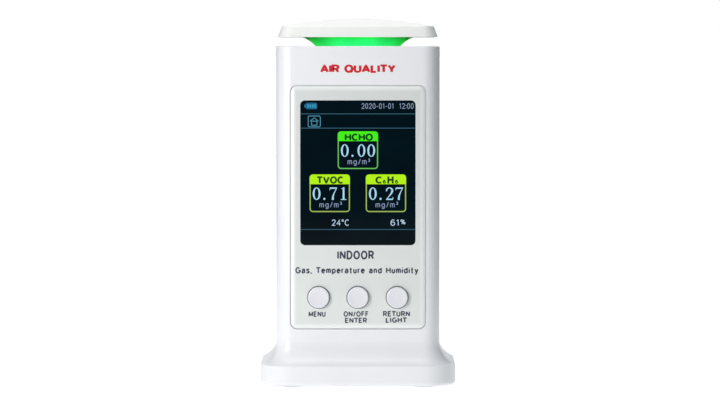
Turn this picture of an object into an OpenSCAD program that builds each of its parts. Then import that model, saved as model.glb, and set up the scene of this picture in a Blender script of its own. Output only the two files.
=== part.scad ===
// Desk-top air quality monitor: a white tower on a flared base, with a colour
// display, three push buttons and a lit ring under a domed cap.
// Origin: middle of the footprint, at the level the rubber feet stand on.
// Axes: +X to the viewer's right, -Y towards the viewer, +Z up. Millimetres.

/* [Tower] */
// Width of the tower, left to right
body_w = 62.6; // [61:0.2:64]
// Depth of the tower, front to back
body_d = 48; // [47:0.5:52]
// Height of the tower's flat top above the table
body_top = 130.4; // [130:0.2:131]
// Radius of the tower's upright corners
corner_r = 6.3; // [5.8:0.1:7]
// Wall thickness of the two shells
wall = 2; // [1.8:0.1:2.2]
// Height of the joint plane between the shells, measured along the depth
split_y = 2; // [1:0.5:3]

/* [Base] */
// How far the base stands out from the tower on every side
flare = 6.1; // [5.6:0.1:6.8]
// Top of the base's upright band above the table
band_top = 8.5; // [8:0.1:9.5]
// Radius of the hollow curve between band and tower
cove_r = 9.5; // [8.5:0.1:11]
// How far the rubber feet stand out below the base
foot_out = 0.8; // [0.6:0.1:1]

/* [Cap and light ring] */
// Width of the cap at its lower rim
cap_w = 61.2; // [60:0.2:61.6]
// Depth of the cap at its lower rim
cap_d = 46.6; // [46:0.2:47.6]
// Open gap between the tower and the cap
cap_gap = 3.4; // [3.2:0.1:3.8]
// Height of the cap's leaning side band
cap_band = 4.3; // [4:0.1:4.6]
// Rise of the cap's pillow-shaped top over its band
cap_dome = 3; // [2.6:0.1:3.4]
// Radius of the light ring where it leaves the tower
ring_foot_r = 16.5; // [16:0.1:17]
// Radius of the light ring where it meets the cap
ring_top_r = 21.6; // [21:0.1:21.8]

/* [Front panel and display] */
// Width of the grey front panel
panel_w = 51.6; // [51.2:0.1:52.2]
// Height of the grey front panel
panel_h = 93; // [92.2:0.2:93.2]
// Height of the panel's lower edge above the table
panel_low = 22.4; // [22.2:0.1:22.8]
// Width of the display window
window_w = 44; // [43.4:0.1:44.2]
// Height of the display window
window_h = 55.3; // [54.6:0.1:55.6]
// Height of the display window's middle above the table
window_mid = 82.1; // [81.8:0.1:82.6]

/* [Buttons] */
// Diameter of a button's cap
button_d = 8.2; // [7.8:0.1:8.4]
// Distance between neighbouring buttons
button_pitch = 15; // [14.5:0.1:15.2]
// Height of the buttons' middle above the table
button_z = 34.5; // [34.2:0.1:35]
// How far a button stands out of the panel
button_out = 1.8; // [1.4:0.1:2]
// Distance that a button travels
button_travel = 0.5; // [0.3:0.1:0.5]

/* [Hidden] */
$fn = 64;

gap = 0.15;                              // play between fitted, unmoving pieces
cut = 1;                                 // how far a cutting shape overruns

// Levels along the height
base_low = foot_out;
cove_top = band_top + sqrt(pow(cove_r, 2) - pow(cove_r - flare, 2));
deck_t = 2;
deck_low = body_top - deck_t;
ring_seat = 1;                           // depth of the light ring's seat in the deck
cap_low = body_top + cap_gap;
cap_shoulder = cap_low + cap_band;

// Levels along the depth, from the front face backwards
front_y = -body_d / 2;
rear_y = body_d / 2;
pocket_depth = 1.6;
pocket_y = front_y + pocket_depth;       // floor of the panel's pocket
pad_y = front_y + 3;                     // inner face of the wall behind the panel
panel_t = 1.6;
tape_t = 0.2;
panel_y = pocket_y - tape_t - panel_t;   // face of the panel
lens_t = 1;
gasket_t = 0.6;
glass_t = 1.4;
backlight_t = 2.4;
panel_back_y = panel_y + panel_t;
glass_y = panel_back_y + gasket_t;
backlight_y = glass_y + glass_t;
board_y = front_y + 9;                   // front face of the main board
board_t = 1.6;
board_back_y = board_y + board_t;

// Outlines in the front view
panel_r = 2.6;
panel_crown = 1.7;                       // width of the panel's rounded border
panel_drop = 0.8;                        // how far that border falls away
window_r = 1.8;
lens_margin = 1.2;
lens_w = window_w + 2 * lens_margin;
lens_h = window_h + 2 * lens_margin;
glass_w = 46.5;
glass_h = 62;
backlight_w = 50;
backlight_low = 45.25;
backlight_h = 69.2;
lcd_hole_w = 47.5;
lcd_hole_h = 63;
panel_mid = panel_low + panel_h / 2;
button_xs = [-button_pitch, 0, button_pitch];
button_hole_r = button_d / 2 + 0.3;

// Buttons and switches
flange_r = 5.2;
dish_r = 30;                             // the finger dish in a button's face
dish_depth = 0.25;
flange_y = pad_y + 0.05;
switch_tip_y = board_y - 5;              // where a button rests on its switch
switch_body_h = 3.5;
plunger_r = 1.7;

// Main board and its screws
board_w = 53;
board_low = 22.6;
board_top = 121.8;
board_screw_spots = [for (x = [-23.2, 23.2], z = [26, 119]) [x, z]];

// Screws that hold the shells together: [x, z, end of front boss, start of rear boss]
shell_screw_low = [24, 14];
shell_screw_high = [25.2, 125.2];
shell_boss_r = 3.1;
lug_t = 2.4;                             // deck lugs between the upper bosses
screw_seat_y = 6;                        // where a shell screw's head rests

// Cover screws, feet, cap screws
cover_screw_spots = [for (x = [-31, 31], y = [-8, 8]) [x, y]];
cover_t = 2;
cover_boss_top = 10;
foot_spots = [for (x = [-25, 25], y = [-19, 19]) [x, y]];
foot_r = 4.5;
cap_screw_circle = 8;
cap_screw_angles = [90, 210, 330];

// Fan, battery and charging socket, which sit on the rear shell
fan_z = 103;
fan_size = 30;
fan_t = 8;
fan_back_y = rear_y - wall - 2;
fan_y = fan_back_y - fan_t;
fan_hole_pitch = 24;
battery = [34, 10, 50];
battery_low = 34;
battery_tape_t = 0.5;
charge_z = 22;                           // underside of the charging board
charge_board_t = 1.2;
charge_spots = [-6.8, 6.8];
charge_screw_y = 12;

// ---------- shared shapes ----------

// Flat rounded rectangle, centred
module rounded(w, h, r) {
    square([w - 2 * r, h], center = true);
    square([w, h - 2 * r], center = true);
    for (sx = [-1, 1], sy = [-1, 1]) translate([sx * (w / 2 - r), sy * (h / 2 - r)]) circle(r);
}

// Sweeps a profile round a rounded rectangle w by d. The profile's x runs outwards from
// the centre of the corner radius r, and its y is the height; z0 and z1 are its ends at x = 0.
module swept(w, d, r, z0, z1) {
    cx = w / 2 - r;
    cy = d / 2 - r;
    translate([-cx, -cy, z0]) cube([2 * cx, 2 * cy, z1 - z0]);
    for (k = [0 : 3]) {
        across = (k % 2 == 0) ? cx : cy;
        along = (k % 2 == 0) ? cy : cx;
        rotate([0, 0, 90 * k]) {
            translate([across, along, 0]) rotate([90, 0, 0]) linear_extrude(2 * along) children();
            translate([across, along, 0]) rotate_extrude(angle = 90) children();
        }
    }
}

// Cutter that rounds the outer corner of a profile at [x, y]; up is 1 for a top corner, -1 for a bottom one
module round_off(x, y, e, up = 1) {
    difference() {
        translate([x - e, up > 0 ? y - e : y - cut]) square([e + cut, e + cut]);
        translate([x - e, y - up * e]) circle(e);
    }
}

// Cutter for a crowned edge: from w inside the corner at [x, y] an arc falls to drop below it
module crown_off(x, y, w, drop) {
    arc_r = (w * w + drop * drop) / (2 * drop);
    difference() {
        translate([x - w, y - drop]) square([w + cut, drop + cut]);
        translate([x - w, y - arc_r]) circle(arc_r);
    }
}

// Upright plate with rounded corners, whose front edge falls away by drop over the width crown.
// Its front face is at y0.
module front_plate(w, h, r, t, y0, z_mid, crown = 0, drop = 0) {
    translate([0, y0 + t, z_mid]) rotate([90, 0, 0]) swept(w, h, r, 0, t) difference() {
        square([r, t]);
        if (crown > 0) crown_off(r, t, crown, drop);
    }
}

// Upright prism from y0 backwards by t, drawn in the front view
module upright(y0, t) {
    translate([0, y0 + t, 0]) rotate([90, 0, 0]) linear_extrude(t) children();
}

// Rod along the depth from y0 to y1 at [x, z]
module rod_y(x, z, r, y0, y1) {
    translate([x, y1, z]) rotate([90, 0, 0]) cylinder(r = r, h = y1 - y0);
}

// The four corners of the fan's screw pattern
module fan_corners() {
    for (x = [-1, 1], z = [-1, 1])
        translate([x * fan_hole_pitch / 2, 0, fan_z + z * fan_hole_pitch / 2]) children();
}

// Pan-head screw with a cross slot, head up at z = 0, shank down
module screw(shank_r, length, head_r, head_h) {
    slot = [head_r * 1.1, head_r * 0.26, head_h * 0.6 + cut];
    difference() {
        union() {
            translate([0, 0, -length]) cylinder(r = shank_r, h = length + 0.1);
            rotate_extrude() difference() {
                square([head_r, head_h]);
                round_off(head_r, head_h, head_h * 0.55);
            }
        }
        for (a = [0, 90]) rotate([0, 0, a])
            translate([-slot[0] / 2, -slot[1] / 2, head_h * 0.4]) cube(slot);
    }
}

// Same screw along the depth: its head faces the rear at y
module screw_from_rear(x, y, z, shank_r, length, head_r, head_h) {
    translate([x, y, z]) rotate([-90, 0, 0]) screw(shank_r, length, head_r, head_h);
}

// ---------- wires ----------

function unit(v) = v / norm(v);
function curve_point(a, b, c, d, t) = 0.5 * (2 * b + (c - a) * t
    + (2 * a - 5 * b + 4 * c - d) * t * t + (3 * b - a - 3 * c + d) * t * t * t);
// A smooth line through the points, with steps between each two
function smooth(p, steps) = [
    for (i = [0 : len(p) - 2], k = [0 : steps - 1])
        curve_point(p[max(i - 1, 0)], p[i], p[i + 1], p[min(i + 2, len(p) - 1)], k / steps),
    p[len(p) - 1]
];

// Round wire along points that never run along X
module wire(points, r) {
    sides = 8;
    path = smooth(points, 3);
    n = len(path);
    rings = [for (i = [0 : n - 1]) let (
        along = unit(path[min(i + 1, n - 1)] - path[max(i - 1, 0)]),
        up = unit(cross(along, [1, 0, 0])),
        side = cross(up, along)
    ) for (k = [0 : sides - 1]) path[i] + r * (cos(360 * k / sides) * side + sin(360 * k / sides) * up)];
    walls = [for (i = [0 : n - 2], k = [0 : sides - 1]) let (
        a = i * sides + k,
        b = i * sides + (k + 1) % sides
    ) [a, a + sides, b + sides, b]];
    ends = [[for (k = [0 : sides - 1]) k], [for (k = [sides - 1 : -1 : 0]) (n - 1) * sides + k]];
    polyhedron(points = rings, faces = concat(walls, ends));
}

wire_r = 0.6;
wire_gap = 1.8;
// Lead of two wires side by side
module wire_pair(points) {
    for (s = [-0.5, 0.5]) wire([for (p = points) p + [s * wire_gap, 0, 0]], wire_r);
}

// ---------- tower ----------

// Profile of the tower's side, drawn inwards by off: upright, hollow curve, base band
module tower_profile(off, z0, z1, edge = 0, foot_edge = 0) {
    difference() {
        translate([0, z0]) square([corner_r + flare - off, z1 - z0]);
        translate([corner_r - off, cove_top]) square([flare + cut, z1 - cove_top + cut]);
        translate([corner_r + cove_r, cove_top]) circle(cove_r + off);
        if (edge > 0) round_off(corner_r - off, z1, edge);
        if (foot_edge > 0) round_off(corner_r + flare - off, z0, foot_edge, -1);
    }
}

module tower(off, z0, z1, edge = 0, foot_edge = 0) {
    swept(body_w, body_d, corner_r, z0, z1) tower_profile(off, z0, z1, edge, foot_edge);
}

// Half-space cutters in front of and behind a plane
big = 200;
module in_front_of(y) { translate([-big / 2, y - big, -cut]) cube([big, big, big]); }
module behind(y) { translate([-big / 2, y, -cut]) cube([big, big, big]); }

// Outer skin less the hollow and the deck's seat
module tower_shell() {
    difference() {
        tower(0, base_low, body_top, 0.6, 1.5);
        tower(wall, base_low - cut, deck_low + 0.01);
        translate([0, 0, deck_low]) linear_extrude(deck_t + cut)
            rounded(body_w - 2, body_d - 2, corner_r - 1);
    }
}

lip = 1.4;
module front_shell() {
    color("white") difference() {
        union() {
            intersection() { tower_shell(); in_front_of(split_y); }
            // tongue that enters the rear shell
            intersection() {
                difference() {
                    tower(1.1, base_low + 3, deck_low - 0.2);
                    tower(wall, base_low, deck_low);
                }
                translate([-big / 2, split_y - 0.5, 0]) cube([big, lip + 0.5, big]);
            }
            // thicker wall behind the panel
            translate([-panel_w / 2 - 1.5, front_y + 1, panel_low - 1.5])
                cube([panel_w + 3, pad_y - front_y - 1, panel_h + 3]);
            for (p = board_screw_spots) rod_y(p[0], p[1], 2.8, front_y + 1, board_y);
            for (s = [-1, 1]) {
                rod_y(s * shell_screw_low[0], shell_screw_low[1], shell_boss_r, front_y + 1, split_y);
                rod_y(s * shell_screw_high[0], shell_screw_high[1], shell_boss_r, front_y + 1,
                    split_y - lug_t / 2);
            }
            for (p = cover_screw_spots) if (p[1] < 0) cover_boss(p);
        }
        front_plate(panel_w + 2 * gap, panel_h + 2 * gap, panel_r + gap, pocket_depth + cut,
            front_y - cut, panel_mid);
        upright(front_y, 5) translate([0, window_mid]) rounded(lcd_hole_w, lcd_hole_h, 1);
        for (x = button_xs) rod_y(x, button_z, button_hole_r, front_y, pad_y + cut);
        for (p = board_screw_spots) rod_y(p[0], p[1], 1.05, board_y - 5.5, board_y + cut);
        for (s = [-1, 1]) {
            rod_y(s * shell_screw_low[0], shell_screw_low[1], 1.15, -8, split_y + cut);
            rod_y(s * shell_screw_high[0], shell_screw_high[1], 1.15, -8, split_y + cut);
        }
        for (p = cover_screw_spots) cover_pilot(p);
        seam_groove();
    }
}

module cover_boss(p) {
    floor_z = base_low + cover_t;
    translate([p[0], p[1], floor_z]) cylinder(r = 2.9, h = cover_boss_top - floor_z);
}
module cover_pilot(p) {
    translate([p[0], p[1], base_low]) cylinder(r = 1.05, h = 8);
}

// Fine groove that marks the joint between the shells
module seam_groove() {
    intersection() {
        difference() {
            tower(-cut, base_low - cut, body_top + cut);
            tower(0.35, base_low - 2 * cut, body_top + 2 * cut);
        }
        translate([-big / 2, split_y - 0.2, -cut]) cube([big, 0.2 + cut, big]);
    }
}

vent_count = 9;
vent_pitch = 3;
module rear_shell() {
    color("white") difference() {
        union() {
            intersection() { tower_shell(); behind(split_y); }
            for (s = [-1, 1]) {
                rod_y(s * shell_screw_low[0], shell_screw_low[1], shell_boss_r, split_y, rear_y - 1);
                rod_y(s * shell_screw_high[0], shell_screw_high[1], shell_boss_r, split_y + lug_t / 2,
                    rear_y - 1);
                // shelves for the charging board
                translate([s * 6.8 - 2.2, charge_screw_y - 2.2, charge_z - 3])
                    cube([4.4, rear_y - 1 - charge_screw_y + 2.2, 3]);
            }
            fan_corners() rod_y(0, 0, 2.4, fan_back_y, rear_y - 1);
            for (p = cover_screw_spots) if (p[1] > 0) cover_boss(p);
        }
        // room for the front shell's tongue
        intersection() {
            difference() {
                tower(1, base_low + 2.8, deck_low + 0.5);
                tower(wall + 0.01, base_low, deck_low + cut);
            }
            translate([-big / 2, split_y - cut, 0]) cube([big, lip + 0.1 + cut, big]);
        }
        for (s = [-1, 1]) for (p = [shell_screw_low, shell_screw_high]) {
            rod_y(s * p[0], p[1], 1.4, split_y - cut, rear_y);
            rod_y(s * p[0], p[1], 2.3, screw_seat_y, rear_y + flare);
        }
        fan_corners() rod_y(0, 0, 0.95, fan_back_y - cut, rear_y - 0.8);
        for (x = charge_spots) translate([x, charge_screw_y, charge_z - 2.6]) cylinder(r = 0.95, h = 4);
        for (i = [0 : vent_count - 1])
            upright(rear_y - wall - cut, wall + 2 * cut)
                translate([0, fan_z + (i - (vent_count - 1) / 2) * vent_pitch]) rounded(26, 1.5, 0.7);
        upright(rear_y - wall - cut, wall + 2 * cut)
            translate([0, charge_z + charge_board_t + 1.45]) rounded(9.4, 4.4, 1.2);
        upright(rear_y - 0.3, 0.3 + cut) translate([0, 60]) rounded(38.3, 24.3, 1.5);
        for (p = cover_screw_spots) cover_pilot(p);
    }
}

module bottom_cover() {
    inset = wall + gap;
    color("white") difference() {
        translate([0, 0, base_low]) linear_extrude(cover_t)
            rounded(body_w + 2 * (flare - inset), body_d + 2 * (flare - inset), corner_r + flare - inset);
        for (p = cover_screw_spots) translate([p[0], p[1], 0]) {
            cylinder(r = 1.4, h = 4);
            cylinder(r = 2.4, h = base_low + 1);
        }
        for (p = foot_spots) translate([p[0], p[1], 0]) cylinder(r = foot_r + 0.1, h = base_low + 1);
    }
}

module rubber_feet() {
    color("dimgray") for (p = foot_spots) translate([p[0], p[1], 0]) rotate_extrude() difference() {
        square([foot_r, base_low + 1]);
        round_off(foot_r, 0, 0.4, -1);
    }
}

// ---------- deck, light ring and cap ----------

module cap_screw_places() {
    for (a = cap_screw_angles)
        translate([cap_screw_circle * cos(a), cap_screw_circle * sin(a), 0]) children();
}

intake_xs = [-27, -24, -21, 21, 24, 27];
module top_deck() {
    color("white") difference() {
        union() {
            translate([0, 0, deck_low]) linear_extrude(deck_t)
                rounded(body_w - 2 - 2 * gap, body_d - 2 - 2 * gap, corner_r - 1 - gap);
            for (s = [-1, 1]) translate([s * shell_screw_high[0] - 2.8,
                split_y - lug_t / 2 + 0.05, shell_screw_high[1] - 2.9])
                cube([5.6, lug_t - 0.1, deck_low - shell_screw_high[1] + 3]);
        }
        translate([0, 0, body_top - ring_seat]) cylinder(r = ring_foot_r + 0.1, h = deck_t);
        for (s = [-1, 1])
            rod_y(s * shell_screw_high[0], shell_screw_high[1], 1.4, split_y - 3, split_y + 3);
        for (x = intake_xs) translate([x, 0, deck_low - cut]) linear_extrude(deck_t + 2 * cut)
            rounded(1.6, 60 - 1.6 * abs(x), 0.75);
        cap_screw_places() translate([0, 0, deck_low - cut]) cylinder(r = 1.3, h = 4);
        translate([0, 0, deck_low - cut]) cylinder(r = 2.5, h = 4);
    }
}

// Lit ring: a clear cup that stands in the deck and flares out to the cap
ring_bore_r = 14.4;
ring_web = 1.2;
module light_guide() {
    foot = body_top - ring_seat;
    lean = [ring_top_r - ring_foot_r, cap_gap];
    chord = norm(lean);
    bow = 12;                            // radius of the hollow flare
    mid = [ring_foot_r, body_top] + lean / 2;
    out = [lean[1], -lean[0]] / chord;
    centre = mid + out * sqrt(pow(bow, 2) - pow(chord / 2, 2));
    color("lime") difference() {
        union() {
            rotate_extrude() difference() {
                translate([0, foot]) square([ring_top_r, cap_low - foot]);
                translate([-cut, foot - cut]) square([ring_bore_r + cut, cap_low - ring_web - foot + cut]);
                translate([ring_foot_r, foot - cut]) square([ring_top_r, ring_seat + cut]);
                translate(centre) circle(bow);
            }
            cap_screw_places() translate([0, 0, body_top]) cylinder(r = 2.3, h = cap_low - body_top - 0.2);
        }
        cap_screw_places() translate([0, 0, body_top - cut]) cylinder(r = 1.3, h = cap_gap + 2 * cut);
    }
}

module cap_plate() {
    color("white") difference() {
        translate([0, 0, cap_low]) linear_extrude(1.2) rounded(cap_w - 3, cap_d - 3, 4.1);
        cap_screw_places() translate([0, 0, cap_low - cut]) cylinder(r = 1.3, h = 4);
    }
}

// Points of a rounded rectangle with half sizes a and b
function round_outline(a, b, r, steps = 8) = [
    for (q = [0 : 3], k = [0 : steps]) let (
        t = 90 * q + 90 * k / steps,
        sx = (q == 0 || q == 3) ? 1 : -1,
        sy = (q < 2) ? 1 : -1
    ) [sx * (a - r) + r * cos(t), sy * (b - r) + r * sin(t)]
];

// Solid cap shape drawn inwards by off: leaning band, then a pillow whose outline turns
// from a rounded rectangle at the shoulder to an oval at the top
module cap_solid(off, z0) {
    lean = 1.55;
    a = cap_w / 2 - lean - off;
    b = cap_d / 2 - lean - off;
    rings = [for (s = [1 : -0.1 : 0.1]) [s, cap_dome * (1 - s * s)]];
    hull() {
        translate([0, 0, z0]) linear_extrude(0.01)
            polygon(round_outline(a + lean - 0.2, b + lean - 0.2, 5.2 - off / 2));
        translate([0, 0, z0 + 0.25]) linear_extrude(0.01)
            polygon(round_outline(a + lean, b + lean, 5.4 - off / 2));
        for (ring = rings) let (s = ring[0], r = 5 - off / 2)
            translate([0, 0, cap_shoulder - off + ring[1] - 0.01]) linear_extrude(0.01)
                polygon(round_outline(a * s, b * s, s * (r + (b - r) * (1 - s * s))));
    }
}

cap_wall = 1.9;
module top_cap() {
    color("white") difference() {
        union() {
            difference() {
                cap_solid(0, cap_low);
                cap_solid(cap_wall, cap_low - cut);
                translate([0, 0, cap_low - cut]) linear_extrude(1.25 + cut)
                    rounded(cap_w - 2.8, cap_d - 2.8, 4.2);
            }
            cap_screw_places() translate([0, 0, cap_low + 1.25]) cylinder(r = 2.4, h = cap_band + 0.4);
        }
        cap_screw_places() translate([0, 0, cap_low]) cylinder(r = 0.95, h = cap_band + 0.4);
    }
}

module led_board() {
    color("darkgreen") translate([0, 0, body_top - ring_seat]) difference() {
        cylinder(r = ring_bore_r - 0.3, h = 1);
        cap_screw_places() translate([0, 0, -cut]) cylinder(r = 1.3, h = 3);
    }
}

led_count = 9;
module status_leds() {
    color("ivory") for (i = [0 : led_count - 1])
        rotate([0, 0, 360 * (i + 0.5) / led_count + 90]) translate([11.9, 0, body_top]) difference() {
            translate([-1.4, -1.6, 0]) cube([2.8, 3.2, 1.1]);
            translate([0, 0, 0.8]) cylinder(r = 1.1, h = 1);
        }
}

// ---------- panel and display ----------

module front_panel() {
    color("gainsboro") difference() {
        front_plate(panel_w, panel_h, panel_r, panel_t, panel_y, panel_mid, panel_crown, panel_drop);
        upright(panel_y - cut, panel_t + 2 * cut)
            translate([0, window_mid]) rounded(window_w, window_h, window_r);
        upright(panel_back_y - lens_t, lens_t + cut) translate([0, window_mid])
            rounded(lens_w + 0.1, lens_h + 0.1, window_r + lens_margin);
        for (x = button_xs) rod_y(x, button_z, button_hole_r, panel_y - cut, panel_back_y + cut);
    }
}

module panel_tape() {
    color("khaki") difference() {
        upright(panel_back_y, tape_t)
            translate([0, panel_mid]) rounded(panel_w - 0.6, panel_h - 0.6, panel_r - 0.3);
        upright(panel_back_y - cut, 3) translate([0, window_mid]) rounded(lcd_hole_w, lcd_hole_h, 1);
        for (x = button_xs) rod_y(x, button_z, button_hole_r + 0.3, panel_back_y - cut, pocket_y + cut);
    }
}

module display_window() {
    color("black") upright(panel_back_y - lens_t, lens_t) translate([0, window_mid])
        rounded(lens_w, lens_h, window_r + lens_margin - 0.05);
}

module lcd_gasket() {
    color("dimgray") upright(panel_back_y, gasket_t) translate([0, window_mid]) difference() {
        rounded(glass_w, glass_h, 0.8);
        square([44.4, 58.8], center = true);
    }
}

module lcd_glass() {
    color("darkslategray") upright(glass_y, glass_t) translate([0, window_mid])
        square([glass_w, glass_h], center = true);
}

module lcd_backlight() {
    color("silver") upright(backlight_y, backlight_t) translate([0, backlight_low + backlight_h / 2])
        rounded(backlight_w, backlight_h, 1);
}

// Plastic tray that holds the display off the board
bracket_rim = 1.4;
module lcd_bracket() {
    mid = backlight_low + backlight_h / 2;
    color("whitesmoke") difference() {
        upright(backlight_y + 0.3, board_y - backlight_y - 0.3) translate([0, mid])
            rounded(backlight_w + 2 * bracket_rim, backlight_h + 2 * bracket_rim, 2);
        upright(backlight_y, backlight_t) translate([0, mid])
            square([backlight_w + 0.3, backlight_h + 0.3], center = true);
        upright(backlight_y, 10) translate([0, mid]) rounded(38, 52, 3);
        translate([-12, backlight_y, mid - backlight_h / 2 - 2]) cube([24, 5, 4]);
    }
}

ribbon_w = 20;
ribbon_t = 0.25;
ribbon_bend = 1.4;
ribbon_in_y = backlight_y + 1.2;         // where the ribbon leaves the display
ribbon_out_y = board_y - 0.9;            // where it enters its socket
ribbon_socket_top = 41.4;
module ribbon_cable() {
    run = ribbon_out_y - ribbon_in_y - 2 * ribbon_bend;
    turn_z = 43;
    color("peru") translate([-ribbon_w / 2, 0, 0]) rotate([90, 0, 90]) linear_extrude(ribbon_w) {
        translate([ribbon_in_y - ribbon_t / 2, turn_z + ribbon_bend])
            square([ribbon_t, backlight_low - 0.02 - turn_z - ribbon_bend]);
        translate([ribbon_in_y + ribbon_bend, turn_z + ribbon_bend]) quarter_band(-1, -1);
        translate([ribbon_in_y + ribbon_bend, turn_z - ribbon_t / 2]) square([run, ribbon_t]);
        translate([ribbon_out_y - ribbon_bend, turn_z - ribbon_bend]) quarter_band(1, 1);
        translate([ribbon_out_y - ribbon_t / 2, ribbon_socket_top + 0.02])
            square([ribbon_t, turn_z - ribbon_bend - ribbon_socket_top - 0.02]);
    }
}

// Quarter of a band round the origin, in the quadrant of signs sx, sy
module quarter_band(sx, sy) {
    intersection() {
        difference() {
            circle(ribbon_bend + ribbon_t / 2);
            circle(ribbon_bend - ribbon_t / 2);
        }
        translate([sx > 0 ? 0 : -3, sy > 0 ? 0 : -3]) square(3);
    }
}

module ribbon_socket() {
    color("ivory") difference() {
        translate([-11.5, board_y - 1.8, ribbon_socket_top - 2.5]) cube([23, 1.8, 2.5]);
        translate([-ribbon_w / 2 - 0.2, ribbon_out_y - 0.2, ribbon_socket_top - 1.5])
            cube([ribbon_w + 0.4, 0.4, 3]);
    }
}

// ---------- buttons and switches ----------

module button(x) {
    length = switch_tip_y - panel_y + button_out;
    stem = switch_tip_y - flange_y;      // flange and boss behind the wall
    color("white") translate([x, switch_tip_y, button_z]) rotate([90, 0, 0]) rotate_extrude() difference() {
        square([flange_r, length]);
        translate([button_d / 2, stem]) square([flange_r, length]);
        round_off(button_d / 2, length, 0.7);
        intersection() {
            translate([0, length + dish_r - dish_depth]) circle(dish_r);
            translate([0, length - dish_depth + 0.03]) square([button_d, dish_depth]);
        }
    }
}
module menu_button() { button(button_xs[0]); }
module power_button() { button(button_xs[1]); }
module return_button() { button(button_xs[2]); }

module plunger(x) { color("black") rod_y(x, button_z, plunger_r, switch_tip_y, switch_tip_y + 3); }
module menu_plunger() { plunger(button_xs[0]); }
module power_plunger() { plunger(button_xs[1]); }
module return_plunger() { plunger(button_xs[2]); }

module switch_bodies() {
    color("dimgray") for (x = button_xs) difference() {
        translate([x - 3, board_y - switch_body_h, button_z - 3]) cube([6, switch_body_h, 6]);
        rod_y(x, button_z, plunger_r + 0.1, board_y - switch_body_h - cut,
            switch_tip_y + 3 + button_travel + 0.2);
    }
}

// ---------- main board ----------

module main_board() {
    color("darkgreen") difference() {
        upright(board_y, board_t) translate([0, (board_low + board_top) / 2])
            rounded(board_w, board_top - board_low, 1.5);
        for (p = board_screw_spots) rod_y(p[0], p[1], 1.4, board_y - cut, board_back_y + cut);
    }
}

// Box on the rear face of the main board, centred at [x, z]
module on_board(x, z, size, t) {
    translate([x - size[0] / 2, board_back_y, z - size[1] / 2]) cube([size[0], t, size[1]]);
}

module processor() { color("black") on_board(-6, 66, [10, 10], 1.4); }

module board_parts() {
    color("darkslategray") {
        on_board(10, 66, [6, 5], 1.5);           // memory
        on_board(-14, 40, [6, 6.5], 1.8);        // charger
        on_board(8, 41, [5, 4], 1.2);            // regulator
        for (i = [0 : 3]) on_board(-18 + 3 * i, 54, [1.2, 2], 0.8);
        for (i = [0 : 3]) on_board(2 + 3 * i, 76, [1.2, 2], 0.8);
        on_board(-18, 70, [3.2, 8], 1);          // crystal
        on_board(16, 41, [5.5, 5.5], 2.6);       // choke
    }
}

// White plug-in headers for the leads: [x, z]
header_spots = [[-19, 78], [20, 90], [-4, 117], [0, 30]];
header = [7, 6, 5];
module lead_headers() {
    color("ivory") for (p = header_spots) on_board(p[0], p[1], [header[0], header[2]], header[1]);
}

module buzzer() {
    color("black") difference() {
        rod_y(14, 54, 6, board_back_y, board_back_y + 5.5);
        rod_y(14, 54, 1, board_back_y + 3, board_back_y + 6);
    }
}

// Round can with a gauze-covered mouth; hole rows are its air inlets
module sensor_can(x, z, r, h, mouth_r, holes) {
    difference() {
        union() {
            rod_y(x, z, r, board_back_y, board_back_y + h);
            rod_y(x, z, r + 0.5, board_back_y, board_back_y + 1);
        }
        rod_y(x, z, mouth_r, board_back_y + h - 0.6, board_back_y + h + cut);
        for (i = [0 : holes - 1]) let (a = 360 * i / holes)
            rod_y(x + mouth_r * 0.6 * cos(a), z + mouth_r * 0.6 * sin(a), mouth_r * 0.14,
                board_back_y + h - 2.5, board_back_y + h);
    }
}
module formaldehyde_sensor() { color("silver") sensor_can(11, 104, 10, 14, 7, 8); }
module voc_sensor() { color("goldenrod") sensor_can(-15, 106, 4.6, 7, 3.2, 6); }

module humidity_sensor() {
    color("royalblue") difference() {
        on_board(-15, 92, [12.6, 12], 5.5);
        for (i = [-2 : 2]) translate([-15 - 4.5, board_back_y + 4.5, 92 + 2 * i - 0.4]) cube([9, 2, 0.8]);
    }
}

// ---------- fan ----------

fan_bore_r = 13.8;
fan_hub_r = 6;
fan_shaft_r = 0.75;
fan_blades = 7;
module fan_frame() {
    color("black") difference() {
        union() {
            difference() {
                upright(fan_y, fan_t) translate([0, fan_z]) rounded(fan_size, fan_size, 2);
                rod_y(0, fan_z, fan_bore_r, fan_y - cut, fan_back_y + cut);
            }
            rod_y(0, fan_z, 6.5, fan_back_y - 1.4, fan_back_y);
            for (a = [30, 150, 270]) translate([0, fan_back_y - 1.4, fan_z]) rotate([0, a, 0])
                translate([5, 0, -1]) cube([9.5, 1.4, 2]);
            rod_y(0, fan_z, 1.8, fan_y + 2, fan_back_y - 1);
        }
        rod_y(0, fan_z, fan_shaft_r + 0.03, fan_y, fan_back_y - 0.4);
        fan_corners() rod_y(0, 0, 1.2, fan_y - cut, fan_back_y + cut);
    }
}

module fan_stator() {
    color("peru") difference() {
        rod_y(0, fan_z, 4.3, fan_y + 2.6, fan_back_y - 1.5);
        rod_y(0, fan_z, 1.85, fan_y, fan_back_y);
    }
}

module fan_rotor() {
    color("dimgray") {
        difference() {
            rod_y(0, fan_z, fan_hub_r, fan_y + 0.6, fan_back_y - 1.8);
            rod_y(0, fan_z, fan_hub_r - 1, fan_y + 1.6, fan_back_y);
        }
        rod_y(0, fan_z, fan_shaft_r, fan_y + 1, fan_back_y - 0.6);
        intersection() {
            difference() {
                rod_y(0, fan_z, fan_bore_r - 0.6, fan_y + 1, fan_back_y - 2.2);
                rod_y(0, fan_z, fan_hub_r - 0.3, fan_y, fan_back_y);
            }
            union() for (i = [0 : fan_blades - 1])
                translate([0, fan_y + 3.4, fan_z]) rotate([0, 360 * i / fan_blades, 0])
                    rotate([35, 0, 0]) translate([fan_hub_r - 1, -0.4, -5]) cube([fan_bore_r, 0.8, 10]);
        }
    }
}

// ---------- battery and charging ----------

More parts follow.
